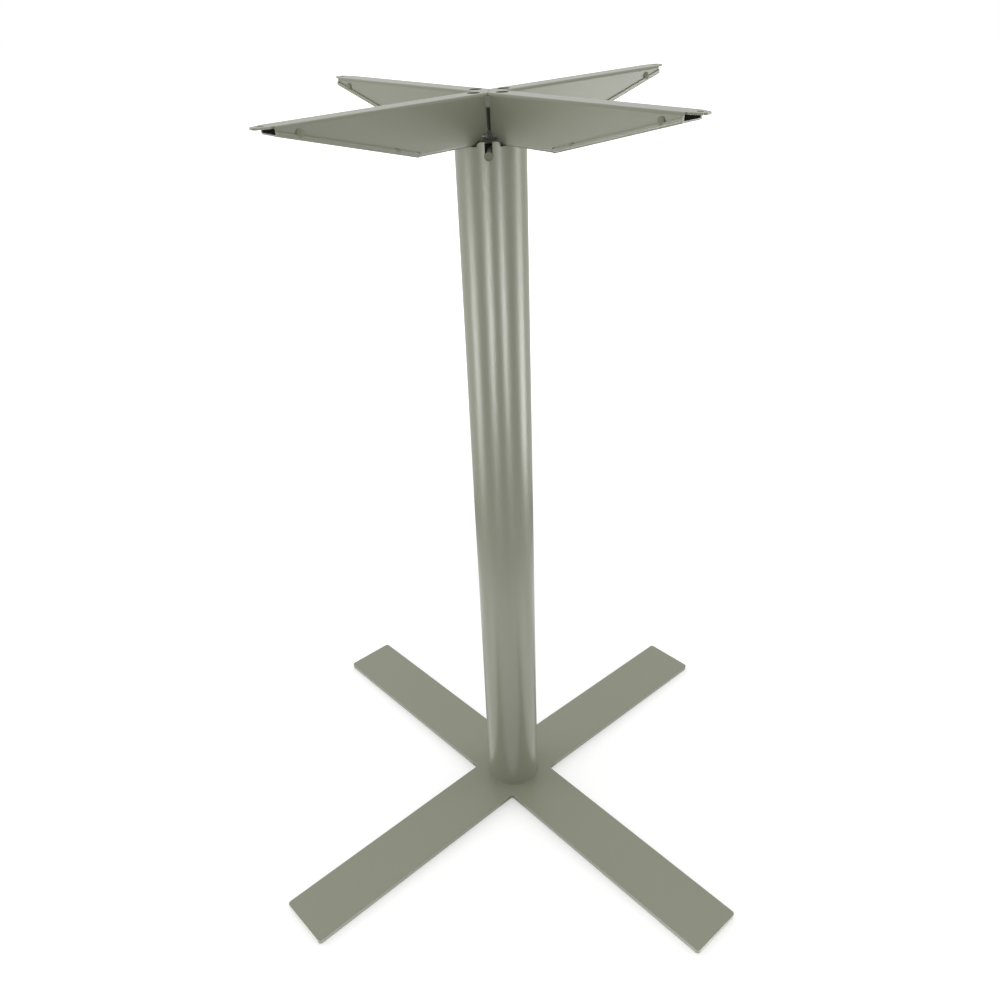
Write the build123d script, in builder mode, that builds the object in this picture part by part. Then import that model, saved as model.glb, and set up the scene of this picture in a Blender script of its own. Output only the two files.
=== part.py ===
from build123d import *
from math import atan2, cos, degrees, radians, sin, sqrt
import os

# A tall pedestal table base: a steel plate cross on the floor, a round column and
# a frame of four folded sheet-steel arms that carries the table top.
# Millimetres, +Z up. The origin is on the floor, under the middle of the column,
# and the arms of the cross and of the frame stand on the diagonals.

os.makedirs("parts", exist_ok=True)

# Whole base
top_height = 1040.0  # floor to the face that the table top lies on
corner_angles = {"front_left": 225.0, "front_right": 315.0, "back_right": 45.0, "back_left": 135.0}

# Floor pads
pad_diameter = 32.0
pad_height = 3.0
pad_end_distance = 34.0  # middle of a pad back from the end of its foot arm

# Foot cross, cut from one plate and bent so that it stands on the ends of its arms
foot_reach = 410.0  # middle of the cross to the end of an arm
foot_width = 84.0
foot_thickness = 8.0
foot_rise = 6.0  # the middle of the plate over the ends of its arms
foot_bend_reach = 62.0  # the plate is flat up to here
foot_corner_radius = 5.0
foot_crotch_radius = 4.0
foot_edge_chamfer = 0.8

# Column
column_diameter = 80.0
column_wall = 2.5
tab_height = 5.0  # the tabs between the slots, above the seat of the arms
tab_corner_radius = 4.0
slot_clearance = 5.0  # each side of an arm

# Folded arms of the frame
arm_width = 26.0
arm_depth = 50.0
arm_sheet = 2.0
arm_bend_radius = 3.0  # outside of a fold
arm_straight_reach = 110.0  # where the underside starts to rise
arm_end_depth = 8.8  # depth of the arm at the end of its webs, closing strip included
arm_mitre_gap = 0.3  # between two arms at the middle of the frame
arm_lip_gap = 1.0  # between the two lips that close the straight underside
relief_slit_width = 2.0
relief_slit_height = 5.5
web_start = 16.0  # the webs stop short of the corner between two arms
spanner_cut_height = 13.0  # the corner cut off each web, for a spanner on the frame nut
spanner_cut_reach = 38.0
top_hole_diameter = 14.0
top_hole_reach = 21.5

# Tongues, which the table top is screwed to
screw_spacing = 390.0  # between neighbouring screws, along the sides of their square
screw_hole_diameter = 6.5
screw_end_distance = 9.5  # middle of a screw hole back from the end of its tongue
tongue_length = 17.5  # past the end of the webs
tongue_tip_width = 10.0
tongue_taper_length = 15.0
tongue_tip_radius = 4.5
tongue_shoulder_radius = 8.0

# Closing strips under the rising part of the arms
strip_sheet = 1.5
strip_lip_height = 3.1  # above the lower edge of the webs
strip_bend_radius = 2.0
strip_web_clearance = 0.1

# End plugs
plug_length = 14.0
plug_proud = 0.8
plug_wall = 1.6
plug_clearance = 0.2

# Clamp: an eye bolt hooked on a cross bar pulls the frame down into the column
bar_diameter = 8.0
bar_below_column_top = 14.6
notch_clearance = 0.2
notch_corner_radius = 1.2
eye_diameter = 17.0
eye_thickness = 7.0
eye_clearance = 0.3
bolt_diameter = 6.0
bolt_hole_clearance = 0.5
bolt_end_chamfer = 0.8
bolt_above_nut = 26.0
nut_sides = 6
nut_width = 10.0  # across the flats
nut_height = 5.0
nut_thread_clearance = 0.05
nut_corner_chamfer = 0.6
washer_diameter = 18.0
washer_thickness = 1.6
washer_hole_clearance = 0.2

# Heights that follow
pad_reach = foot_reach - pad_end_distance
foot_slope = foot_rise / (foot_reach - foot_bend_reach)
foot_base = pad_height + foot_slope * (pad_reach - foot_bend_reach)
foot_end_base = foot_base - foot_rise
foot_top = foot_base + foot_thickness
arm_base = top_height - arm_depth
column_top = arm_base + tab_height
lip_top = arm_base + arm_sheet
bar_height = column_top - bar_below_column_top
nut_base = lip_top + washer_thickness
bolt_top = nut_base + nut_height + bolt_above_nut

# Places that follow, in an arm's side view: reach from the middle, depth from the top
screw_reach = screw_spacing / sqrt(2)
tongue_reach = screw_reach + screw_end_distance
arm_web_reach = tongue_reach - tongue_length
web_kink_depth = arm_depth - strip_sheet
web_end_depth = arm_end_depth - strip_sheet
rise_run = arm_web_reach - arm_straight_reach
rise_angle = degrees(atan2(web_kink_depth - web_end_depth, rise_run))
lip_end = arm_straight_reach - relief_slit_width
spanner_cut_slope = spanner_cut_height / (spanner_cut_reach - web_start)
fold_start = spanner_cut_reach - arm_sheet / spanner_cut_slope
flat_half_width = arm_width / 2 - arm_bend_radius
mitre_start = arm_mitre_gap / sqrt(2)
column_bore = column_diameter - 2 * column_wall
nut_corner_radius = nut_width / 2 / cos(radians(180 / nut_sides))
cut_margin = 5.0  # how far a cutting shape runs past what it cuts


def along(angle, distance, height):
    """The point at a distance out from the middle, on an arm's line."""
    return (distance * cos(radians(angle)), distance * sin(radians(angle)), height)


def side_plane(angle):
    """An arm's side view: x is the reach, y is the height over the top face."""
    return Plane(
        origin=(0, 0, top_height),
        x_dir=along(angle, 1, 0),
        z_dir=along(angle - 90, 1, 0),
    )


def foot_side_plane(angle):
    """A foot arm's side view: x is the reach, y is the height over the floor."""
    return Plane(
        origin=(0, 0, 0),
        x_dir=along(angle, 1, 0),
        z_dir=along(angle - 90, 1, 0),
    )


def plan_plane(angle, height):
    """An arm seen from above: x is the reach, y is across the arm."""
    return Plane(origin=(0, 0, height), x_dir=along(angle, 1, 0), z_dir=(0, 0, 1))


def section_plane(angle, reach, height):
    """Across an arm: x is across, y is up, and an extrusion runs outwards."""
    return Plane(
        origin=along(angle, reach, height),
        x_dir=along(angle + 90, 1, 0),
        z_dir=along(angle, 1, 0),
    )


def rise_plane(angle):
    """Across the rising underside, at its lower end: an extrusion runs up the slope."""
    slope = radians(rise_angle)
    outward = along(angle, cos(slope), 0)
    return Plane(
        origin=along(angle, arm_straight_reach, top_height - web_kink_depth),
        x_dir=along(angle + 90, 1, 0),
        z_dir=(outward[0], outward[1], sin(slope)),
    )


# Floor pads: one under each foot arm, cut off along its slope
for corner, angle in corner_angles.items():
    with BuildPart() as floor_pad:
        with BuildSketch(plan_plane(angle, 0)):
            with Locations((pad_reach, 0)):
                Circle(pad_diameter / 2)
        extrude(amount=pad_height + cut_margin)
        with BuildSketch(foot_side_plane(angle)):
            with BuildLine():
                Polyline(
                    (foot_bend_reach, foot_base),
                    (foot_reach, foot_end_base),
                    (foot_reach, foot_base + cut_margin),
                    (foot_bend_reach, foot_base + cut_margin),
                    close=True,
                )
            make_face()
        extrude(amount=pad_diameter, both=True, mode=Mode.SUBTRACT)
    floor_pad.part.label = "floor_pad_" + corner
    export_step(floor_pad.part, "parts/floor_pad_" + corner + ".step")

# Foot cross: two crossing bars, flat in the middle and sloping down to their ends
with BuildPart() as foot_cross:
    for turn in (corner_angles["front_left"], corner_angles["front_right"]):
        with BuildSketch(foot_side_plane(turn)):
            with BuildLine():
                Polyline(
                    (-foot_reach, foot_end_base),
                    (-foot_bend_reach, foot_base),
                    (foot_bend_reach, foot_base),
                    (foot_reach, foot_end_base),
                    (foot_reach, foot_end_base + foot_thickness),
                    (foot_bend_reach, foot_top),
                    (-foot_bend_reach, foot_top),
                    (-foot_reach, foot_end_base + foot_thickness),
                    close=True,
                )
            make_face()
        extrude(amount=foot_width / 2, both=True)
    uprights = foot_cross.edges().filter_by(Axis.Z)
    uprights = uprights.sort_by(lambda edge: Vector(edge.center().X, edge.center().Y, 0).length)
    fillet(uprights[:4], foot_crotch_radius)
    uprights = foot_cross.edges().filter_by(Axis.Z)
    uprights = uprights.sort_by(lambda edge: Vector(edge.center().X, edge.center().Y, 0).length)
    fillet(uprights[-8:], foot_corner_radius)
    upper_edges = foot_cross.faces().filter_by(lambda face: face.normal_at().Z > 0.5).edges()
    rim = upper_edges.filter_by(lambda edge: abs(edge.length - foot_width) > foot_edge_chamfer)
    chamfer(rim, foot_edge_chamfer)
foot_cross.part.label = "foot_cross"
export_step(foot_cross.part, "parts/foot_cross.step")

# Column: a tube whose end is slotted for the arms and notched for the cross bar
with BuildPart() as column_tube:
    with BuildSketch(Plane.XY.offset(foot_top)):
        Circle(column_diameter / 2)
        Circle(column_bore / 2, mode=Mode.SUBTRACT)
    extrude(amount=column_top - foot_top)
    with BuildSketch(Plane.XY.offset(arm_base)):
        for turn in (45, 135):
            Rectangle(column_diameter + cut_margin, arm_width + 2 * slot_clearance, rotation=turn)
    extrude(amount=tab_height + cut_margin, mode=Mode.SUBTRACT)
    tab_ends = column_tube.faces().group_by(Axis.Z)[-1].edges().filter_by(GeomType.LINE)
    fillet(tab_ends, tab_corner_radius)
    with BuildSketch(Plane.XZ):
        with Locations((0, bar_height)):
            Circle(bar_diameter / 2 + notch_clearance)
        with Locations((0, (bar_height + column_top + cut_margin) / 2)):
            Rectangle(bar_diameter + 2 * notch_clearance, column_top + cut_margin - bar_height)
    extrude(amount=column_diameter, both=True, mode=Mode.SUBTRACT)
    notch_mouths = (
        column_tube.faces()
        .group_by(Axis.Z)[-1]
        .edges()
        .filter_by(GeomType.LINE)
        .filter_by(lambda edge: abs(edge.center().X) < bar_diameter)
    )
    fillet(notch_mouths, notch_corner_radius)
column_tube.part.label = "column_tube"
export_step(column_tube.part, "parts/column_tube.step")

# Arms: each one folded from a single sheet
for corner, angle in corner_angles.items():
    with BuildPart() as arm:
        # top, webs and underside as a box section with its folds
        with BuildSketch(section_plane(angle, 0, top_height - arm_depth / 2)):
            RectangleRounded(arm_width, arm_depth, arm_bend_radius)
            RectangleRounded(
                arm_width - 2 * arm_sheet,
                arm_depth - 2 * arm_sheet,
                arm_bend_radius - arm_sheet,
                mode=Mode.SUBTRACT,
            )
        extrude(amount=arm_web_reach)
        # the underside rises to the end of the webs, past a slit that frees the lips
        with BuildSketch(side_plane(angle)):
            with BuildLine():
                Polyline(
                    (lip_end, -arm_depth - cut_margin),
                    (lip_end, -arm_depth + relief_slit_height),
                    (arm_straight_reach, -arm_depth + relief_slit_height),
                    (arm_straight_reach, -web_kink_depth),
                    (arm_web_reach, -web_end_depth),
                    (arm_web_reach + cut_margin, -web_end_depth),
                    (arm_web_reach + cut_margin, -arm_depth - cut_margin),
                    close=True,
                )
            make_face()
        extrude(amount=arm_width, both=True, mode=Mode.SUBTRACT)
        # the webs end short of the corner, with their lower corner cut off
        with BuildSketch(side_plane(angle)):
            with BuildLine():
                Polyline(
                    (-cut_margin, -arm_bend_radius),
                    (web_start, -arm_bend_radius),
                    (web_start, -arm_depth + spanner_cut_height),
                    (fold_start, -arm_depth + arm_sheet),
                    (-cut_margin, -arm_depth + arm_sheet),
                    close=True,
                )
            make_face()
        extrude(amount=arm_width, both=True, mode=Mode.SUBTRACT)
        # there the underside is a flat strip with no fold along its edges
        with BuildSketch(plan_plane(angle, arm_base - cut_margin)):
            for side in (-1, 1):
                with Locations((fold_start / 2, side * (flat_half_width + arm_bend_radius))):
                    Rectangle(fold_start, 2 * arm_bend_radius)
        extrude(amount=cut_margin + arm_sheet, mode=Mode.SUBTRACT)
        # the joint between the two lips
        with BuildSketch(plan_plane(angle, arm_base - cut_margin)):
            with Locations((lip_end / 2, 0)):
                Rectangle(lip_end + cut_margin, arm_lip_gap)
        extrude(amount=cut_margin + arm_sheet, mode=Mode.SUBTRACT)
        # the tongue that the table top is screwed to
        with BuildSketch(plan_plane(angle, top_height - arm_sheet)) as tongue:
            with BuildLine():
                Polyline(
                    (arm_web_reach - cut_margin, -flat_half_width),
                    (tongue_reach - tongue_taper_length, -flat_half_width),
                    (tongue_reach, -tongue_tip_width / 2),
                    (tongue_reach, tongue_tip_width / 2),
                    (tongue_reach - tongue_taper_length, flat_half_width),
                    (arm_web_reach - cut_margin, flat_half_width),
                    close=True,
                )
            make_face()
            fillet(tongue.vertices().group_by(Axis.X)[-1], tongue_tip_radius)
            shoulders = tongue.vertices().filter_by(
                lambda point: abs(point.X - tongue_reach + tongue_taper_length) < tongue_tip_radius
            )
            fillet(shoulders, tongue_shoulder_radius)
        extrude(amount=arm_sheet)
        # the inner end is mitred against its two neighbours
        with BuildSketch(plan_plane(angle, arm_base - cut_margin)):
            with BuildLine():
                Polyline(
                    (mitre_start, 0),
                    (mitre_start + arm_width, arm_width),
                    (-cut_margin, arm_width),
                    (-cut_margin, -arm_width),
                    (mitre_start + arm_width, -arm_width),
                    close=True,
                )
            make_face()
        extrude(amount=arm_depth + 2 * cut_margin, mode=Mode.SUBTRACT)
        # the round hole and the screw hole in the top, and the bolt's hole in the underside
        with BuildSketch(plan_plane(angle, top_height - arm_sheet)):
            with Locations((top_hole_reach, 0)):
                Circle(top_hole_diameter / 2)
            with Locations((screw_reach, 0)):
                Circle(screw_hole_diameter / 2)
        extrude(amount=arm_sheet + cut_margin, mode=Mode.SUBTRACT)
        with BuildSketch(Plane.XY.offset(arm_base - cut_margin)):
            Circle(bolt_diameter / 2 + bolt_hole_clearance)
        extrude(amount=cut_margin + arm_sheet, mode=Mode.SUBTRACT)
    arm.part.label = "arm_" + corner
    export_step(arm.part, "parts/arm_" + corner + ".step")

# Closing strips: shallow channels whose lips lap the webs from outside
strip_inner_width = arm_width + 2 * strip_web_clearance
strip_width = strip_inner_width + 2 * strip_sheet
strip_length = rise_run / cos(radians(rise_angle)) + cut_margin
for corner, angle in corner_angles.items():
    with BuildPart() as closing_strip:
        with BuildSketch(rise_plane(angle)) as channel:
            with Locations((0, (strip_lip_height - strip_sheet) / 2)):
                Rectangle(strip_width, strip_lip_height + strip_sheet)
            fillet(channel.vertices().group_by(Axis.Y)[0], strip_bend_radius)
            with Locations((0, strip_lip_height)):
                Rectangle(strip_inner_width, 2 * strip_lip_height, mode=Mode.SUBTRACT)
        extrude(amount=strip_length)
        with BuildSketch(section_plane(angle, arm_web_reach, arm_base)):
            Rectangle(2 * strip_width, 4 * arm_depth)
        extrude(amount=2 * cut_margin, mode=Mode.SUBTRACT)
    closing_strip.part.label = "closing_strip_" + corner
    export_step(closing_strip.part, "parts/closing_strip_" + corner + ".step")

# End plugs: moulded cups that close the ends of the arms
plug_top = top_height - arm_sheet - plug_clearance
plug_depth = web_end_depth - arm_sheet - 2 * plug_clearance
plug_width = arm_width - 2 * (arm_sheet + plug_clearance)
for corner, angle in corner_angles.items():
    with BuildPart() as end_plug:
        plug_end = section_plane(angle, arm_web_reach + plug_proud, plug_top - plug_depth / 2)
        with BuildSketch(plug_end) as plug_face:
            Rectangle(plug_width, plug_depth)
            fillet(plug_face.vertices().group_by(Axis.Y)[-1], arm_bend_radius - arm_sheet)
        extrude(amount=-plug_length)
        with BuildSketch(plug_end.offset(-plug_wall)):
            Rectangle(plug_width - 2 * arm_bend_radius, plug_depth - 2 * plug_wall)
        extrude(amount=-plug_length, mode=Mode.SUBTRACT)
    end_plug.part.label = "end_plug_" + corner
    export_step(end_plug.part, "parts/end_plug_" + corner + ".step")

# Cross bar, from the front of the column to the back
with BuildPart() as cross_bar:
    with BuildSketch(Plane.XZ):
        with Locations((0, bar_height)):
            Circle(bar_diameter / 2)
    extrude(amount=column_diameter / 2, both=True)
cross_bar.part.label = "cross_bar"
export_step(cross_bar.part, "parts/cross_bar.step")

# Eye bolt, hooked on the bar
with BuildPart() as eye_bolt:
    with BuildSketch(Plane.XY.offset(bar_height)):
        Circle(bolt_diameter / 2)
    extrude(amount=bolt_top - bar_height)
    chamfer(eye_bolt.faces().sort_by(Axis.Z)[-1].edges(), bolt_end_chamfer)
    with BuildSketch(Plane.XZ):
        with Locations((0, bar_height)):
            Circle(eye_diameter / 2)
    extrude(amount=eye_thickness / 2, both=True)
    with BuildSketch(Plane.XZ):
        with Locations((0, bar_height)):
            Circle(bar_diameter / 2 + eye_clearance)
    extrude(amount=eye_thickness, both=True, mode=Mode.SUBTRACT)
eye_bolt.part.label = "eye_bolt"
export_step(eye_bolt.part, "parts/eye_bolt.step")

# Washer and nut, on the lips at the middle of the frame
with BuildPart() as frame_washer:
    with BuildSketch(Plane.XY.offset(lip_top)):
        Circle(washer_diameter / 2)
        Circle(bolt_diameter / 2 + washer_hole_clearance, mode=Mode.SUBTRACT)
    extrude(amount=washer_thickness)
frame_washer.part.label = "frame_washer"
export_step(frame_washer.part, "parts/frame_washer.step")

with BuildPart() as frame_nut:
    with BuildSketch(Plane.XY.offset(nut_base)):
        RegularPolygon(nut_corner_radius, nut_sides)
    extrude(amount=nut_height)
    with BuildSketch(Plane.XY.offset(nut_base)):
        Circle(nut_corner_radius - nut_corner_chamfer / 2)
    extrude(amount=nut_height, mode=Mode.INTERSECT)
    with BuildSketch(Plane.XY.offset(nut_base)):
        Circle(bolt_diameter / 2 + nut_thread_clearance)
    extrude(amount=nut_height, mode=Mode.SUBTRACT)
frame_nut.part.label = "frame_nut"
export_step(frame_nut.part, "parts/frame_nut.step")
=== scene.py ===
import logging
import math
from dataclasses import dataclass, field
from enum import Enum

import bmesh
import bpy
from mathutils import Matrix, Vector


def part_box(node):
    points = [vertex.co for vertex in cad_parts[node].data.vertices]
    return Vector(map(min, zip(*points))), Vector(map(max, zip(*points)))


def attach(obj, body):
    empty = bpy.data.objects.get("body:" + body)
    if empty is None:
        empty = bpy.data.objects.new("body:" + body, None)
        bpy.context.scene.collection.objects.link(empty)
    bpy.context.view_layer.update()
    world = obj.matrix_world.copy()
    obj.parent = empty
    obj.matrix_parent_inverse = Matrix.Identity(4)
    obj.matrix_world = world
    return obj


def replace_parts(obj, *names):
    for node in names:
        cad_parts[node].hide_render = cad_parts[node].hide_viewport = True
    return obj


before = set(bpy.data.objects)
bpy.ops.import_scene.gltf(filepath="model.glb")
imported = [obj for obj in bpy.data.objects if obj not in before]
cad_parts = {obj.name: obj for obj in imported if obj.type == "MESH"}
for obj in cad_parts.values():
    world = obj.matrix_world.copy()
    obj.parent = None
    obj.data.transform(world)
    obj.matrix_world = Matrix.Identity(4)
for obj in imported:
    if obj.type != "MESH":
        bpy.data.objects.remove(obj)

LOG = logging.getLogger("table_base")
MM = 0.001
MERGE = 1e-7
ROOT = "root"
SCREEN_TOE = 0.04045
SCREEN_TOE_SLOPE = 12.92
SCREEN_OFFSET = 0.055
SCREEN_GAMMA = 2.4

Colour = tuple[float, float, float]
Span = tuple[float, float]


class Corner(Enum):
    """The four ways that the arms point, as angles about the column in degrees."""

    FRONT_LEFT = 225.0
    FRONT_RIGHT = 315.0
    BACK_RIGHT = 45.0
    BACK_LEFT = 135.0

    @property
    def label(self) -> str:
        """The corner's name as the nodes have it."""
        return self.name.lower()

    @property
    def radians(self) -> float:
        """The corner's angle in radians."""
        return math.radians(self.value)


class Coat(Enum):
    """How a piece is coated, each coat with the record's material slot that it belongs to."""

    PAINT = ("paint", "sprayed evenly")
    DRY_PAINT = ("paint", "sprayed thinly over welds and into recesses")
    # The nut's coat is a plated steel grey, made lighter than the paint as painted light on the nut,
    # which sits in shade.
    PLATED_NUT_WITH_PAINTED_LIGHT = ("paint", "left bare, as the nut goes on after the paint")
    PLASTIC = ("plastic", "moulded")
    RUBBER = ("rubber", "cut from sheet")

    @property
    def slot(self) -> str:
        """The slot's name in the record."""
        return self.value[0]


def linear(red: int, green: int, blue: int) -> Colour:
    """Turn a colour as a screen shows it into the linear one that a shader takes.

    Args:
        red: Red from 0 to 255.
        green: Green from 0 to 255.
        blue: Blue from 0 to 255.

    Returns:
        The three linear values.
    """

    def channel(value: int) -> float:
        """One channel from 0 to 255, made linear."""
        share = value / 255
        if share <= SCREEN_TOE:
            return share / SCREEN_TOE_SLOPE
        return ((share + SCREEN_OFFSET) / (1 + SCREEN_OFFSET)) ** SCREEN_GAMMA

    return channel(red), channel(green), channel(blue)


class NodeSheet:
    """A node tree with short ways to add a node and to join two sockets."""

    def __init__(self, tree: bpy.types.NodeTree) -> None:
        """Take the tree that the nodes go into.

        Args:
            tree: A material's or a group's node tree.
        """
        self.tree = tree

    def add(self, kind: str, values: dict | None = None, **settings: object) -> bpy.types.Node:
        """Add a node.

        Args:
            kind: The node's type, such as ShaderNodeMath.
            values: What its input sockets hold, by name or number.
            **settings: What the node's own properties are set to.

        Returns:
            The new node.
        """
        node = self.tree.nodes.new(kind)
        for name, value in settings.items():
            setattr(node, name, value)
        for socket, value in (values or {}).items():
            node.inputs[socket].default_value = value
        return node

    def join(self, source: bpy.types.NodeSocket, target: bpy.types.NodeSocket) -> None:
        """Link an output socket to an input socket."""
        self.tree.links.new(source, target)


@dataclass
class SurfaceEffects:
    """The effects that several finishes share, each one a node group built once."""

    groups: dict[str, bpy.types.NodeTree] = field(default_factory=dict)

    def group(self, name: str, inputs: dict[str, float], outputs: tuple[str, ...]) -> NodeSheet:
        """Start a node group with number sockets.

        Args:
            name: The group's name.
            inputs: Its input sockets and their usual values.
            outputs: Its output sockets.

        Returns:
            The sheet of the new group, with its input and output nodes in place.
        """
        tree = bpy.data.node_groups.new(name, "ShaderNodeTree")
        tree.interface.new_socket("Vector", in_out="INPUT", socket_type="NodeSocketVector")
        for socket, value in inputs.items():
            made = tree.interface.new_socket(socket, in_out="INPUT", socket_type="NodeSocketFloat")
            made.default_value = value
        for socket in outputs:
            tree.interface.new_socket(socket, in_out="OUTPUT", socket_type="NodeSocketFloat")
        self.groups[name] = tree
        sheet = NodeSheet(tree)
        sheet.add("NodeGroupInput", name="in")
        sheet.add("NodeGroupOutput", name="out")
        return sheet

    def build(self) -> None:
        """Make every group."""
        self.build_orange_peel()
        self.build_tone_drift()
        self.build_nibs()

    def build_orange_peel(self) -> None:
        """The shallow even waviness of sprayed and baked paint, as a height from 0 to 1."""
        sheet = self.group("orange_peel", {"Scale": 300.0, "Fine": 0.3}, ("Height",))
        source, target = sheet.tree.nodes["in"], sheet.tree.nodes["out"]
        coarse = sheet.add("ShaderNodeTexNoise", {"Detail": 1.0, "Roughness": 0.4})
        fine = sheet.add("ShaderNodeTexNoise", {"Detail": 2.0, "Roughness": 0.6})
        finer = sheet.add("ShaderNodeMath", {1: 4.0}, operation="MULTIPLY")
        mix = sheet.add("ShaderNodeMix", data_type="FLOAT")
        sheet.join(source.outputs["Vector"], coarse.inputs["Vector"])
        sheet.join(source.outputs["Vector"], fine.inputs["Vector"])
        sheet.join(source.outputs["Scale"], coarse.inputs["Scale"])
        sheet.join(source.outputs["Scale"], finer.inputs[0])
        sheet.join(finer.outputs[0], fine.inputs["Scale"])
        sheet.join(source.outputs["Fine"], mix.inputs[0])
        sheet.join(coarse.outputs[0], mix.inputs[2])
        sheet.join(fine.outputs[0], mix.inputs[3])
        sheet.join(mix.outputs[0], target.inputs["Height"])

    def build_tone_drift(self) -> None:
        """Slow changes of tone over a surface, as a factor about 1."""
        sheet = self.group("tone_drift", {"Scale": 9.0, "Amount": 0.05}, ("Factor",))
        source, target = sheet.tree.nodes["in"], sheet.tree.nodes["out"]
        noise = sheet.add("ShaderNodeTexNoise", {"Detail": 3.0, "Roughness": 0.55})
        centred = sheet.add("ShaderNodeMath", {1: 0.5}, operation="SUBTRACT")
        scaled = sheet.add("ShaderNodeMath", operation="MULTIPLY")
        shifted = sheet.add("ShaderNodeMath", {1: 1.0}, operation="ADD")
        sheet.join(source.outputs["Vector"], noise.inputs["Vector"])
        sheet.join(source.outputs["Scale"], noise.inputs["Scale"])
        sheet.join(noise.outputs[0], centred.inputs[0])
        sheet.join(centred.outputs[0], scaled.inputs[0])
        sheet.join(source.outputs["Amount"], scaled.inputs[1])
        sheet.join(scaled.outputs[0], shifted.inputs[0])
        sheet.join(shifted.outputs[0], target.inputs["Factor"])

    def build_nibs(self) -> None:
        """Sparse round specks, as a mask from 0 to 1."""
        sheet = self.group("nibs", {"Scale": 60.0, "Size": 0.06, "Share": 0.2}, ("Mask",))
        source, target = sheet.tree.nodes["in"], sheet.tree.nodes["out"]
        cells = sheet.add("ShaderNodeTexVoronoi", feature="F1")
        near = sheet.add("ShaderNodeMath", operation="LESS_THAN")
        chosen = sheet.add("ShaderNodeSeparateColor")
        rare = sheet.add("ShaderNodeMath", operation="LESS_THAN")
        both = sheet.add("ShaderNodeMath", operation="MULTIPLY")
        sheet.join(source.outputs["Vector"], cells.inputs["Vector"])
        sheet.join(source.outputs["Scale"], cells.inputs["Scale"])
        sheet.join(cells.outputs["Distance"], near.inputs[0])
        sheet.join(source.outputs["Size"], near.inputs[1])
        sheet.join(cells.outputs["Color"], chosen.inputs[0])
        sheet.join(chosen.outputs[0], rare.inputs[0])
        sheet.join(source.outputs["Share"], rare.inputs[1])
        sheet.join(near.outputs[0], both.inputs[0])
        sheet.join(rare.outputs[0], both.inputs[1])
        sheet.join(both.outputs[0], target.inputs["Mask"])


@dataclass(frozen=True)
class Finish:
    """A finish: its colour, its gloss and how far the shared effects show in it."""

    name: str
    colour: Colour
    roughness: float
    specular: float = 0.5
    peel_scale: float = 260.0
    peel_depth: float = 0.00002
    peel_fine: float = 0.3
    drift_scale: float = 9.0
    drift: float = 0.05
    gloss_drift: float = 0.1
    gloss_fineness: float = 2.7
    nib_scale: float = 70.0
    nib_size: float = 0.05
    nib_share: float = 0.15
    nib_shade: float = 0.8

    def build(self, effects: SurfaceEffects) -> bpy.types.Material:
        """Make the finish's material.

        Args:
            effects: The node groups that the finish draws on.

        Returns:
            The new material.
        """
        material = bpy.data.materials.new(self.name)
        material.use_nodes = True
        sheet = NodeSheet(material.node_tree)
        shader = sheet.tree.nodes["Principled BSDF"]
        shader.inputs["Specular IOR Level"].default_value = self.specular
        place = sheet.add("ShaderNodeTexCoord")

        def effect(name: str, **values: float) -> bpy.types.Node:
            """A group node that reads the piece's own coordinates."""
            node = sheet.add("ShaderNodeGroup", node_tree=effects.groups[name])
            for socket, value in values.items():
                node.inputs[socket.capitalize()].default_value = value
            sheet.join(place.outputs["Object"], node.inputs["Vector"])
            return node

        drift = effect("tone_drift", scale=self.drift_scale, amount=self.drift)
        nibs = effect("nibs", scale=self.nib_scale, size=self.nib_size, share=self.nib_share)
        plain = sheet.add("ShaderNodeRGB")
        plain.outputs[0].default_value = (*self.colour, 1.0)
        toned = sheet.add("ShaderNodeVectorMath", operation="SCALE")
        sheet.join(plain.outputs[0], toned.inputs[0])
        sheet.join(drift.outputs["Factor"], toned.inputs["Scale"])
        specked = sheet.add("ShaderNodeMix", data_type="RGBA", blend_type="MULTIPLY")
        specked.inputs[7].default_value = (*[self.nib_shade] * 3, 1.0)
        sheet.join(nibs.outputs["Mask"], specked.inputs[0])
        sheet.join(toned.outputs[0], specked.inputs[6])
        sheet.join(specked.outputs[2], shader.inputs["Base Color"])

        gloss_scale = self.drift_scale * self.gloss_fineness
        gloss = effect("tone_drift", scale=gloss_scale, amount=self.gloss_drift)
        rough = sheet.add("ShaderNodeMath", {1: self.roughness}, operation="MULTIPLY")
        sheet.join(gloss.outputs["Factor"], rough.inputs[0])
        sheet.join(rough.outputs[0], shader.inputs["Roughness"])

        peel = effect("orange_peel", scale=self.peel_scale, fine=self.peel_fine)
        raised = sheet.add("ShaderNodeMath", operation="ADD")
        sheet.join(peel.outputs["Height"], raised.inputs[0])
        sheet.join(nibs.outputs["Mask"], raised.inputs[1])
        bump = sheet.add("ShaderNodeBump", {"Strength": 1.0, "Distance": self.peel_depth})
        sheet.join(raised.outputs[0], bump.inputs["Height"])
        sheet.join(bump.outputs["Normal"], shader.inputs["Normal"])
        return material


SAGE_PAINT = Finish(name="sage_paint", colour=linear(145, 148, 129), roughness=0.3)
DRY_SAGE_PAINT = Finish(
    name="dry_sage_paint",
    colour=linear(142, 145, 127),
    roughness=0.6,
    specular=0.1,
    peel_scale=700.0,
    peel_depth=0.00005,
    peel_fine=0.5,
)
# A plated steel grey for the nut, made lighter than the paint as painted light on the nut, which
# sits in shade.
PLATED_STEEL_WITH_PAINTED_LIGHT = Finish(
    name="plated_steel_with_painted_light",
    colour=linear(176, 176, 174),
    roughness=0.5,
    peel_scale=900.0,
    nib_share=0.0,
)
BLACK_PLASTIC = Finish(
    name="black_plastic",
    colour=linear(6, 6, 5),
    roughness=0.8,
    specular=0.04,
    peel_scale=900.0,
    peel_fine=0.7,
    nib_share=0.0,
)
BLACK_RUBBER = Finish(
    name="black_rubber",
    colour=linear(32, 32, 31),
    roughness=0.8,
    peel_scale=1400.0,
    peel_depth=0.00005,
    peel_fine=0.8,
    nib_share=0.0,
)


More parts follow.
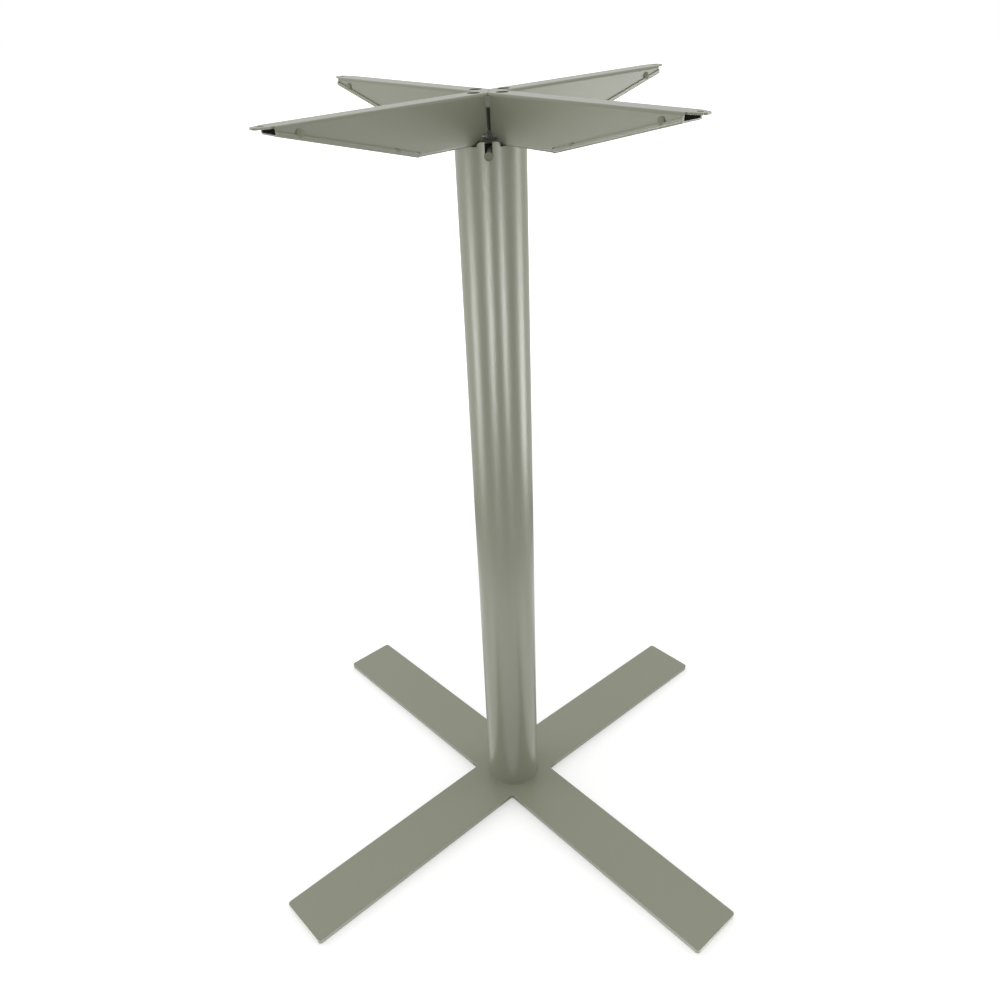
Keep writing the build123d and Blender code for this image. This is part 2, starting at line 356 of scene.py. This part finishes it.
@dataclass
class Workshop:
    """What every sub-assembly needs: the materials, and the way that pieces are put in place."""

    materials: dict[Coat, bpy.types.Material] = field(default_factory=dict)

    def prepare(self) -> None:
        """Build the shared effects and the finishes."""
        effects = SurfaceEffects()
        effects.build()
        for coat, finish in (
            (Coat.PAINT, SAGE_PAINT),
            (Coat.DRY_PAINT, DRY_SAGE_PAINT),
            (Coat.PLATED_NUT_WITH_PAINTED_LIGHT, PLATED_STEEL_WITH_PAINTED_LIGHT),
            (Coat.PLASTIC, BLACK_PLASTIC),
            (Coat.RUBBER, BLACK_RUBBER),
        ):
            self.materials[coat] = finish.build(effects)

    def dress(self, node: str, coat: Coat) -> None:
        """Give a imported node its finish.

        Args:
            node: The node's name.
            coat: The coat that it takes.
        """
        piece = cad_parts[node]
        for place in piece.material_slots:
            place.material = self.materials[coat]
        LOG.info("%s: %s", node, coat.name)

    def place(self, name: str, mesh: bmesh.types.BMesh, coat: Coat) -> bpy.types.Object:
        """Turn a finished mesh into a piece of the object.

        Args:
            name: The piece's name.
            mesh: Its shape, in metres and in the frame. It is freed.
            coat: The coat that it takes.

        Returns:
            The new piece.
        """
        bmesh.ops.remove_doubles(mesh, verts=mesh.verts, dist=MERGE)
        bmesh.ops.recalc_face_normals(mesh, faces=mesh.faces)
        data = bpy.data.meshes.new(name)
        mesh.to_mesh(data)
        mesh.free()
        for face in data.polygons:
            face.use_smooth = True
        data.materials.append(self.materials[coat])
        piece = bpy.data.objects.new(name, data)
        bpy.context.scene.collection.objects.link(piece)
        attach(piece, ROOT)
        LOG.info("%s: %d faces, %s", name, len(data.polygons), coat.name)
        return piece


def turned(
    mesh: bmesh.types.BMesh, outline: list[Vector], steps: int, closed: bool = False
) -> list[bmesh.types.BMVert]:
    """Turn an outline once round the Z axis.

    Args:
        mesh: The mesh that takes the new shape.
        outline: Points in the XZ plane, from one end to the other.
        steps: Facets round the axis.
        closed: Whether the last point joins the first.

    Returns:
        The new points.
    """
    before = set(mesh.verts)
    points = [mesh.verts.new(point) for point in outline]
    pairs = list(zip(points, points[1:]))
    if closed:
        pairs.append((points[-1], points[0]))
    edges = [mesh.edges.new(pair) for pair in pairs]
    bmesh.ops.spin(
        mesh,
        geom=points + edges,
        cent=(0, 0, 0),
        axis=(0, 0, 1),
        angle=math.tau,
        steps=steps,
        use_merge=True,
    )
    return [point for point in mesh.verts if point not in before]


@dataclass(frozen=True)
class Bead:
    """A short weld bead or spot, as long and as broad as it shows on the surface."""

    length: float
    width: float
    height: float
    ripples: int = 4
    ripple: float = 0.07
    bluntness: int = 3
    rows: int = 33
    steps: int = 28

    def lay(self, mesh: bmesh.types.BMesh, place: Matrix) -> None:
        """Add the bead to a mesh.

        Args:
            mesh: The mesh that takes it.
            place: Where it lies: X across it, Y off the surface and Z along it.
        """
        outline = []
        for row in range(self.rows):
            along = -math.cos(math.pi * row / (self.rows - 1))
            swell = 1 + self.ripple * math.cos(self.ripples * math.pi * along)
            breadth = math.sqrt(max(0.0, 1 - abs(along) ** self.bluntness)) * swell
            outline.append(Vector((breadth / 2, 0, along * self.length / 2)))
        points = turned(mesh, outline, self.steps)
        stretch = Matrix.Diagonal((self.width, 2 * self.height, 1, 1))
        bmesh.ops.transform(mesh, matrix=place @ stretch, verts=points)


@dataclass(frozen=True)
class RingBead:
    """A weld bead that runs once round a tube or bar."""

    radius: float
    size: float
    ripples: int
    ripple: float
    facets: int = 14
    steps_per_ripple: int = 4

    def lay(self, mesh: bmesh.types.BMesh, place: Matrix) -> None:
        """Add the ring to a mesh.

        Args:
            mesh: The mesh that takes it.
            place: Where it lies, with Z as its axis.
        """
        outline = []
        for facet in range(self.facets):
            angle = math.tau * facet / self.facets
            reach = self.radius + self.size * math.cos(angle)
            outline.append(Vector((reach, 0, self.size * math.sin(angle))))
        points = turned(mesh, outline, self.ripples * self.steps_per_ripple, closed=True)
        for point in points:
            around = math.atan2(point.co.y, point.co.x)
            middle = Vector((self.radius * math.cos(around), self.radius * math.sin(around), 0))
            swell = 1 + self.ripple * math.sin(self.ripples * around)
            point.co = middle + (point.co - middle) * swell
        bmesh.ops.transform(mesh, matrix=place, verts=points)


def upright(place: Vector, along: Vector, off: Vector) -> Matrix:
    """A place whose Z axis runs along a seam and whose Y axis stands off the surface.

    Args:
        place: The middle.
        along: The way the seam runs.
        off: The way the surface faces.

    Returns:
        The matrix.
    """
    axes = Matrix((off.cross(along), off, along)).transposed().to_4x4()
    return Matrix.Translation(place) @ axes


@dataclass
class FloorCross:
    """The cross on the floor and the pads under it."""

    shop: Workshop

    def build(self) -> None:
        """Dress the plate and the pads."""
        self.shop.dress("foot_cross", Coat.PAINT)
        for corner in Corner:
            self.shop.dress("floor_pad_" + corner.label, Coat.RUBBER)


@dataclass
class Column:
    """The round column, its weld at the foot and the welds of the bar in its notches."""

    shop: Workshop
    foot_weld_size: float = 1.0 * MM
    bar_weld_size: float = 0.9 * MM

    def build(self) -> None:
        """Dress the tube and lay its welds."""
        self.shop.dress("column_tube", Coat.PAINT)
        low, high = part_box("column_tube")
        mesh = bmesh.new()
        foot = RingBead(radius=high.x, size=self.foot_weld_size, ripples=72, ripple=0.05)
        foot.lay(mesh, Matrix.Translation((0, 0, low.z)))
        self.shop.place("foot_weld", mesh, Coat.DRY_PAINT)
        self.bar_welds()

    def bar_welds(self) -> None:
        """Lay a small bead round each end of the cross bar."""
        low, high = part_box("cross_bar")
        mesh = bmesh.new()
        ring = RingBead(radius=(high.x - low.x) / 2, size=self.bar_weld_size, ripples=9, ripple=0.25)
        for end, turn in ((low.y, 90), (high.y, -90)):
            middle = Matrix.Translation((0, end, (low.z + high.z) / 2))
            ring.lay(mesh, middle @ Matrix.Rotation(math.radians(turn), 4, "X"))
        self.shop.place("bar_welds", mesh, Coat.DRY_PAINT)


@dataclass
class TopFrame:
    """The four folded arms with their closing strips, end plugs and welds."""

    shop: Workshop
    half_width: float = 13.0 * MM
    web_start: float = 16.0 * MM
    straight_reach: float = 110.0 * MM
    kink_depth: float = 45.3 * MM
    rise: float = 0.2612
    corner_bead: Bead = Bead(11.5 * MM, 9.0 * MM, 1.5 * MM, ripples=4, ripple=0.04)
    corner_bead_depth: float = 8.3 * MM
    spots: tuple[tuple[float, float, Bead], ...] = (
        (135.0 * MM, -0.4 * MM, Bead(7.0 * MM, 3.6 * MM, 2.2 * MM, ripples=3)),
        (244.0 * MM, 1.4 * MM, Bead(8.6 * MM, 8.2 * MM, 2.6 * MM, ripples=2, ripple=0.04)),
    )

    @property
    def top(self) -> float:
        """The height of the faces that carry the table top."""
        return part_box("arm_front_left")[1].z

    def build(self) -> None:
        """Dress the arms and what closes them, and lay the welds."""
        for corner in Corner:
            self.shop.dress("arm_" + corner.label, Coat.PAINT)
            self.shop.dress("closing_strip_" + corner.label, Coat.PAINT)
            self.shop.dress("end_plug_" + corner.label, Coat.PLASTIC)
            self.strip_welds(corner)
        self.corner_welds()

    def corner_welds(self) -> None:
        """Lay an upright bead in each corner between two arms."""
        mesh = bmesh.new()
        reach = (self.web_start + self.half_width) / math.sqrt(2)
        for quarter in range(4):
            angle = quarter * math.pi / 2
            off = Vector((math.cos(angle), math.sin(angle), 0))
            middle = off * reach + Vector((0, 0, self.top - self.corner_bead_depth))
            self.corner_bead.lay(mesh, upright(middle, Vector((0, 0, 1)), off))
        self.shop.place("corner_welds", mesh, Coat.DRY_PAINT)

    def strip_welds(self, corner: Corner) -> None:
        """Lay the spots that hold a closing strip, on both sides of its arm.

        Args:
            corner: The way the arm points.
        """
        mesh = bmesh.new()
        outward = Vector((math.cos(corner.radians), math.sin(corner.radians), 0))
        along = (outward + Vector((0, 0, self.rise))).normalized()
        for side in (-1, 1):
            off = Vector((-outward.y, outward.x, 0)) * side
            for reach, over, bead in self.spots:
                seam = self.top - self.kink_depth + (reach - self.straight_reach) * self.rise
                middle = outward * reach + off * self.half_width + Vector((0, 0, seam + over))
                bead.lay(mesh, upright(middle, along, off))
        self.shop.place("strip_welds_" + corner.label, mesh, Coat.DRY_PAINT)


@dataclass
class Clamp:
    """The bar, eye bolt, washer and nut that hold the frame down."""

    shop: Workshop
    shank_radius: float = 3.0 * MM
    thread_pitch: float = 1.0 * MM
    thread_depth: float = 0.3 * MM
    thread_start: float = 7.0 * MM
    thread_fade: float = 1.0 * MM
    end_chamfer: float = 0.8 * MM
    rows_per_turn: int = 6
    steps: int = 24
    eye_thickness: float = 5.2 * MM
    eye_clearance: float = 0.3 * MM
    lean: float = -1.3
    nut_sides: int = 6
    nut_steps: int = 48
    nut_bore: float = 3.05 * MM
    nut_chamfer_slope: float = 0.577
    nut_face_share: float = 0.97
    nut_rim_share: float = 1.1
    collar_radius: float = 4.4 * MM
    collar_height: float = 2.4 * MM
    collar_wall_share: float = 0.7
    collar_top_share: float = 0.93

    def build(self) -> None:
        """Dress the plain pieces, and make the threaded bolt and the nut."""
        for node in ("cross_bar", "frame_washer"):
            self.shop.dress(node, Coat.DRY_PAINT)
        self.bolt()
        self.nut()

    def bolt(self) -> None:
        """Make the eye bolt, with a round eye and a thread up to its end."""
        low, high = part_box("eye_bolt")
        bar_low, bar_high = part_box("cross_bar")
        outer = high.x
        middle = low.z + outer
        inner = (bar_high.x - bar_low.x) / 2 + self.eye_clearance
        mesh = bmesh.new()
        eye = RingBead(
            radius=(outer + inner) / 2, size=(outer - inner) / 2, ripples=12, ripple=0.0, facets=20
        )
        swell = Matrix.Diagonal((1, 1, self.eye_thickness / (outer - inner), 1))
        pivot = Matrix.Translation((0, 0, middle))
        eye.lay(mesh, pivot @ Matrix.Rotation(math.radians(90), 4, "X") @ swell)
        bottom = middle + (outer + inner) / 2
        rows = round((high.z - bottom) / self.thread_pitch * self.rows_per_turn)
        outline = [Vector((0, 0, bottom))]
        for row in range(rows + 1):
            height = bottom + (high.z - bottom) * row / rows
            outline.append(Vector((self.shank_radius, 0, height)))
        outline.append(Vector((0, 0, high.z)))
        for point in turned(mesh, outline, self.steps):
            if math.hypot(point.co.x, point.co.y) < self.shank_radius / 2:
                continue
            if point.co.z > high.z - MERGE:
                cut = self.end_chamfer
            else:
                cut = self.thread_depth * self.groove(point.co, middle + self.thread_start)
            share = 1 - cut / self.shank_radius
            point.co.x *= share
            point.co.y *= share
        tilt = Matrix.Rotation(math.radians(self.lean), 4, "Y")
        bmesh.ops.transform(mesh, matrix=pivot @ tilt @ pivot.inverted(), verts=mesh.verts)
        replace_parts(self.shop.place("threaded_eye_bolt", mesh, Coat.DRY_PAINT), "eye_bolt")

    def groove(self, point: Vector, start: float) -> float:
        """How far the thread is cut in at a point of the shank, from 0 at a crest to 1.

        Args:
            point: The point, on the plain shank.
            start: The height where the thread begins.

        Returns:
            The share of the thread's depth.
        """
        turn = point.z / self.thread_pitch - math.atan2(point.y, point.x) / math.tau
        return abs(2 * (turn % 1) - 1) * min(1.0, max(0.0, (point.z - start) / self.thread_fade))

    def nut(self) -> None:
        """Make the lock nut, with its corners turned off at both faces and its collar on top."""
        low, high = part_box("frame_nut")
        flat = high.y
        face = flat * self.nut_face_share
        rim = flat * self.nut_rim_share
        collar_wall = high.z + self.collar_height * self.collar_wall_share
        collar_top = high.z + self.collar_height
        mesh = bmesh.new()
        outline = [
            Vector((self.nut_bore, 0, low.z)),
            Vector((face, 0, low.z)),
            Vector((rim, 0, low.z)),
            Vector((rim, 0, high.z)),
            Vector((face, 0, high.z)),
            Vector((self.collar_radius, 0, high.z)),
            Vector((self.collar_radius, 0, collar_wall)),
            Vector((self.collar_radius * self.collar_top_share, 0, collar_top)),
            Vector((self.nut_bore, 0, collar_top)),
        ]
        sector = math.tau / self.nut_sides
        middle = (low.z + high.z) / 2
        for point in turned(mesh, outline, self.nut_steps, closed=True):
            radius = math.hypot(point.co.x, point.co.y)
            if radius < (face + rim) / 2:
                continue
            around = math.atan2(point.co.y, point.co.x) - math.pi / 2
            hexagon = flat / math.cos((around + sector / 2) % sector - sector / 2)
            point.co.x *= hexagon / radius
            point.co.y *= hexagon / radius
            drop = (hexagon - face) * self.nut_chamfer_slope
            point.co.z -= math.copysign(drop, point.co.z - middle)
        # The nut's pale coat is painted light: its colour is lighter than the paint so that the nut
        # in shade reads lit.
        nut = self.shop.place("clamp_nut", mesh, Coat.PLATED_NUT_WITH_PAINTED_LIGHT)
        for side in nut.data.polygons:
            side.use_smooth = False
        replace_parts(nut, "frame_nut")


@dataclass(frozen=True)
class Lamp:
    """A soft rectangular lamp, placed by its bearing from the camera's side."""

    name: str
    bearing: float
    distance: float
    height: float
    size: Span
    power: float
    aim: float = 0.6


@dataclass(frozen=True)
class Streak:
    """A bright streak on the floor that only mirrors in the paint.

    Its strength goes from near over middle to far, along its reach from start over peak to end.
    """

    name: str
    bearing: float
    spread: float
    near: float
    middle: float
    far: float
    start: float = 1.1
    peak: float = 2.15
    end: float = 5.0


@dataclass
class Studio:
    """Floor, lamps, mirrored streaks and the camera. None of it is part of the object."""

    camera_distance: float = 1058.242 * MM
    camera_height: float = 1162.123 * MM
    camera_turn: float = 3.363
    yaw: float = -1.072
    pitch: float = 32.004
    roll: float = 2.665
    focal_pixels: float = 902.927
    picture_pixels: float = 1000.0
    middle_pixel: Span = (490.0, 520.0)
    sensor_width: float = 36.0
    clip: Span = (0.05, 100.0)
    floor_reach: float = 12.0
    ambient: float = 0.83
    front_dim: float = 0.5
    world_mirrored: float = 1.0
    floor_mirrored: float = 0.4
    floor_tone: float = 0.7
    floor_near: float = 0.9
    floor_far: float = 2.2
    floor_glow: float = 0.5
    lamps: tuple[Lamp, ...] = (
        Lamp("left_side", -95.0, 2.4, 1.0, (1.4, 1.8), 12.0),
        Lamp("right_side", 95.0, 2.4, 1.0, (1.4, 1.8), 7.0),
        Lamp("low_front", 4.0, 0.8, 0.28, (0.5, 0.3), 0.4, 0.28),
    )
    streak_height: float = 1.0 * MM
    streak_step: float = 5.0
    streaks: tuple[Streak, ...] = (
        Streak("streak_left", -81.0, 10.5, 6.0, 11.0, 3.5),
        Streak("streak_front_left", -20.5, 7.0, 0.0, 24.0, 6.0),
        Streak("streak_front_right", 26.5, 7.5, 0.0, 22.0, 5.0),
        Streak("streak_right", 92.5, 12.0, 9.0, 10.0, 2.0),
        Streak("streak_right_far", 93.0, 9.0, 15.0, 15.0, 15.0, start=6.6, peak=8.6, end=11.0),
        Streak("streak_left_far", -104.0, 9.0, 3.0, 3.0, 3.0, start=6.6, peak=8.6, end=11.0),
        Streak("streak_before", 0.0, 80.0, 1.2, 2.8, 0.0, start=0.08, peak=0.55, end=0.78),
        Streak("streak_behind", 180.0, 100.0, 1.3, 1.3, 0.0, start=0.08, peak=0.5, end=0.95),
    )

    def build(self) -> None:
        """Set the stage."""
        bpy.context.scene.view_settings.view_transform = "Standard"
        self.build_camera()
        self.build_world()
        self.build_floor()
        for lamp in self.lamps:
            self.hang(lamp)
        for streak in self.streaks:
            self.lay(streak)

    def build_camera(self) -> None:
        """Stand the camera where the photo was taken from."""
        yaw, pitch, roll = (math.radians(angle) for angle in (self.yaw, self.pitch, self.roll))
        level = Vector((math.cos(yaw), -math.sin(yaw), 0))
        ahead = Vector((math.sin(yaw), math.cos(yaw), -math.tan(pitch))).normalized()
        down = ahead.cross(level)
        right = level * math.cos(roll) + down * math.sin(roll)
        below = down * math.cos(roll) - level * math.sin(roll)
        axes = Matrix((right, -below, -ahead)).transposed().to_4x4()
        place = Matrix.Translation((0, -self.camera_distance, self.camera_height))
        data = bpy.data.cameras.new("photo_camera")
        data.sensor_width = self.sensor_width
        data.lens = self.focal_pixels / self.picture_pixels * self.sensor_width
        data.shift_x = 0.5 - self.middle_pixel[0] / self.picture_pixels
        data.shift_y = self.middle_pixel[1] / self.picture_pixels - 0.5
        data.clip_start, data.clip_end = self.clip
        camera = bpy.data.objects.new("photo_camera", data)
        bpy.context.scene.collection.objects.link(camera)
        turn = Matrix.Rotation(math.radians(self.camera_turn), 4, "Z")
        camera.matrix_world = turn @ place @ axes
        bpy.context.scene.camera = camera

    def seen_by(self, sheet: NodeSheet, share: float) -> bpy.types.NodeSocket:
        """One for camera and transmitted rays, a share for glossy ones and nought for others.

        Args:
            sheet: The node tree that asks.
            share: How much of the background the glossy rays see.

        Returns:
            The socket with the answer.
        """
        rays = sheet.add("ShaderNodeLightPath")
        mirrored = sheet.add("ShaderNodeMath", {1: share}, operation="MULTIPLY")
        first = sheet.add("ShaderNodeMath", operation="MAXIMUM")
        second = sheet.add("ShaderNodeMath", operation="MAXIMUM")
        sheet.join(rays.outputs["Is Glossy Ray"], mirrored.inputs[0])
        sheet.join(rays.outputs["Is Camera Ray"], first.inputs[0])
        sheet.join(mirrored.outputs[0], first.inputs[1])
        sheet.join(first.outputs[0], second.inputs[0])
        sheet.join(rays.outputs["Is Transmission Ray"], second.inputs[1])
        return second.outputs[0]

    def build_world(self) -> None:
        """A white backdrop that lights the object only softly."""
        world = bpy.data.worlds.new("studio")
        bpy.context.scene.world = world
        world.use_nodes = True
        sheet = NodeSheet(world.node_tree)
        sky = sheet.tree.nodes["Background"]
        sky.inputs["Color"].default_value = (1, 1, 1, 1)
        rays = sheet.add("ShaderNodeLightPath")
        aim = sheet.add("ShaderNodeTexCoord")
        ahead = sheet.add(
            "ShaderNodeVectorMath", {1: tuple(self.toward(0.0, 1.0, 0.0))}, operation="DOT_PRODUCT"
        )
        dimmed = sheet.add(
            "ShaderNodeMapRange", {"To Min": self.ambient, "To Max": self.ambient - self.front_dim}
        )
        soft = sheet.add("ShaderNodeMath", operation="MULTIPLY")
        total = sheet.add("ShaderNodeMath", operation="ADD")
        sheet.join(aim.outputs["Generated"], ahead.inputs[0])
        sheet.join(ahead.outputs["Value"], dimmed.inputs["Value"])
        sheet.join(dimmed.outputs["Result"], soft.inputs[1])
        sheet.join(rays.outputs["Is Diffuse Ray"], soft.inputs[0])
        sheet.join(self.seen_by(sheet, self.world_mirrored), total.inputs[0])
        sheet.join(soft.outputs[0], total.inputs[1])
        sheet.join(total.outputs[0], sky.inputs["Strength"])

    def build_floor(self) -> None:
        """A white floor that keeps the object's shadow."""
        mesh = bmesh.new()
        bmesh.ops.create_grid(mesh, x_segments=1, y_segments=1, size=self.floor_reach)
        data = bpy.data.meshes.new("floor")
        mesh.to_mesh(data)
        mesh.free()
        floor = bpy.data.objects.new("floor", data)
        bpy.context.scene.collection.objects.link(floor)
        material = bpy.data.materials.new("white_floor")
        material.use_nodes = True
        sheet = NodeSheet(material.node_tree)
        shader = sheet.tree.nodes["Principled BSDF"]
        shader.inputs["Base Color"].default_value = (*[self.floor_tone] * 3, 1)
        shader.inputs["Roughness"].default_value = 1.0
        shader.inputs["Specular IOR Level"].default_value = 0.0
        shader.inputs["Emission Color"].default_value = (1, 1, 1, 1)
        place = sheet.add("ShaderNodeTexCoord")
        reach = sheet.add("ShaderNodeVectorMath", operation="LENGTH")
        fade = sheet.add(
            "ShaderNodeMapRange",
            {"From Min": self.floor_near, "From Max": self.floor_far, "To Min": self.floor_glow},
            interpolation_type="SMOOTHSTEP",
        )
        glow = sheet.add("ShaderNodeMath", operation="MULTIPLY")
        sheet.join(place.outputs["Object"], reach.inputs[0])
        sheet.join(reach.outputs["Value"], fade.inputs["Value"])
        sheet.join(fade.outputs["Result"], glow.inputs[0])
        sheet.join(self.seen_by(sheet, self.floor_mirrored), glow.inputs[1])
        sheet.join(glow.outputs[0], shader.inputs["Emission Strength"])
        data.materials.append(material)

    def toward(self, bearing: float, distance: float, height: float) -> Vector:
        """A point round the column, by its bearing from the camera's side.

        Args:
            bearing: Degrees from the line to the camera, positive to the right.
            distance: How far from the column.
            height: How far above the floor.

        Returns:
            The point.
        """
        angle = math.radians(self.camera_turn - 90.0 + bearing)
        return Vector((distance * math.cos(angle), distance * math.sin(angle), height))

    def hang(self, lamp: Lamp) -> None:
        """Hang a lamp, aimed at the middle of the object."""
        place = self.toward(lamp.bearing, lamp.distance, lamp.height)
        data = bpy.data.lights.new(lamp.name, "AREA")
        data.shape = "RECTANGLE"
        data.size, data.size_y = lamp.size
        data.energy = lamp.power
        hung = bpy.data.objects.new(lamp.name, data)
        bpy.context.scene.collection.objects.link(hung)
        aim = (place - Vector((0, 0, lamp.aim))).to_track_quat("Z", "Y").to_matrix().to_4x4()
        hung.matrix_world = Matrix.Translation(place) @ aim
        hung.visible_camera = False
        hung.visible_glossy = False

    def lay(self, streak: Streak) -> None:
        """Lay one streak on the floor, pointing away from the column."""
        mesh = bmesh.new()
        side = streak.bearing - streak.spread
        inner, outer = (
            mesh.verts.new(self.toward(side, reach, self.streak_height))
            for reach in (streak.start, streak.end)
        )
        edge = mesh.edges.new((inner, outer))
        bmesh.ops.spin(
            mesh,
            geom=[inner, outer, edge],
            cent=(0, 0, 0),
            axis=(0, 0, 1),
            angle=math.radians(2 * streak.spread),
            steps=max(2, round(streak.spread / self.streak_step)),
        )
        bmesh.ops.remove_doubles(mesh, verts=mesh.verts, dist=MERGE)
        bmesh.ops.recalc_face_normals(mesh, faces=mesh.faces)
        data = bpy.data.meshes.new(streak.name)
        mesh.to_mesh(data)
        mesh.free()
        laid = bpy.data.objects.new(streak.name, data)
        bpy.context.scene.collection.objects.link(laid)
        data.materials.append(self.streak_glow(streak))
        laid.visible_camera = False
        laid.visible_diffuse = False
        laid.visible_shadow = False
        laid.visible_transmission = False

    def streak_glow(self, streak: Streak) -> bpy.types.Material:
        """A glow that rises to the streak's peak and falls again towards its end.

        Args:
            streak: The streak that it is for.

        Returns:
            The new material.
        """
        material = bpy.data.materials.new(streak.name)
        material.use_nodes = True
        sheet = NodeSheet(material.node_tree)
        sheet.tree.nodes.remove(sheet.tree.nodes["Principled BSDF"])
        place = sheet.add("ShaderNodeTexCoord")
        reach = sheet.add("ShaderNodeVectorMath", operation="LENGTH")
        rising, falling = (
            sheet.add(
                "ShaderNodeMapRange",
                {"From Min": first, "From Max": last, "To Min": low, "To Max": high},
                interpolation_type="SMOOTHSTEP",
            )
            for first, last, low, high in (
                (streak.start, streak.peak, streak.near, streak.middle),
                (streak.peak, streak.end, 0.0, streak.middle - streak.far),
            )
        )
        strength = sheet.add("ShaderNodeMath", operation="SUBTRACT")
        glow = sheet.add("ShaderNodeEmission")
        sheet.join(place.outputs["Object"], reach.inputs[0])
        sheet.join(reach.outputs["Value"], rising.inputs["Value"])
        sheet.join(reach.outputs["Value"], falling.inputs["Value"])
        sheet.join(rising.outputs["Result"], strength.inputs[0])
        sheet.join(falling.outputs["Result"], strength.inputs[1])
        sheet.join(strength.outputs[0], glow.inputs["Strength"])
        sheet.join(glow.outputs[0], sheet.tree.nodes["Material Output"].inputs["Surface"])
        return material


def main() -> None:
    """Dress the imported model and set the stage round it."""
    logging.basicConfig(level=logging.INFO, format="%(name)s: %(message)s")
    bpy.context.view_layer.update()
    shop = Workshop()
    shop.prepare()
    for assembly in (FloorCross(shop), Column(shop), TopFrame(shop), Clamp(shop)):
        assembly.build()
    Studio().build()
    bpy.context.view_layer.update()


if __name__ == "__main__":
    main()
